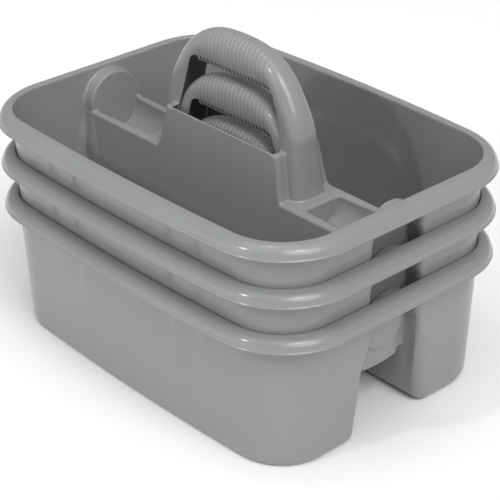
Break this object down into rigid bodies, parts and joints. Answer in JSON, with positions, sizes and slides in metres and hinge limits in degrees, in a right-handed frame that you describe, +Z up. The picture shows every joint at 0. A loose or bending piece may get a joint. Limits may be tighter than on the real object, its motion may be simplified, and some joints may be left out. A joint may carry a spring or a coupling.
{
  "type": "cleaning caddy",
  "caption": "Nested set of moulded cleaning caddies, each a rimmed tray over two tapered bins with an arched, ribbed carrying handle.",
  "frame": {"origin": "middle of the footprint, on the plane that the bottom caddy stands on", "axes": "+X along the long side and the handles, +Y across, +Z up"},
  "size_m": [0.467, 0.344, 0.3421],
  "materials": {
    "body_plastic": "satin injection-moulded plastic",
    "grip_plastic": "satin injection-moulded plastic, ribbed"
  },
  "bodies": {
    "bottom": {"bottom_rim": "body_plastic", "bottom_front_bin": "body_plastic", "bottom_rear_bin": "body_plastic", "bottom_left_pocket": "body_plastic", "bottom_right_pocket": "body_plastic", "bottom_handle_base": "body_plastic", "bottom_left_handle_leg": "body_plastic", "bottom_right_handle_leg": "body_plastic", "bottom_grip": "grip_plastic"},
    "middle": {"middle_rim": "body_plastic", "middle_front_bin": "body_plastic", "middle_rear_bin": "body_plastic", "middle_left_pocket": "body_plastic", "middle_right_pocket": "body_plastic", "middle_handle_base": "body_plastic", "middle_left_handle_leg": "body_plastic", "middle_right_handle_leg": "body_plastic", "middle_grip": "grip_plastic"},
    "top": {"top_rim": "body_plastic", "top_front_bin": "body_plastic", "top_rear_bin": "body_plastic", "top_left_pocket": "body_plastic", "top_right_pocket": "body_plastic", "top_handle_base": "body_plastic", "top_left_handle_leg": "body_plastic", "top_right_handle_leg": "body_plastic", "top_grip": "grip_plastic"}
  },
  "joints": [
    {"name": "middle_lift", "type": "slide", "parent": "bottom", "child": "middle", "axis": [0, 0, 1], "range_m": [0, 0.21]},
    {"name": "top_lift", "type": "slide", "parent": "middle", "child": "top", "axis": [0, 0, 1], "range_m": [0, 0.21]}
  ]
}
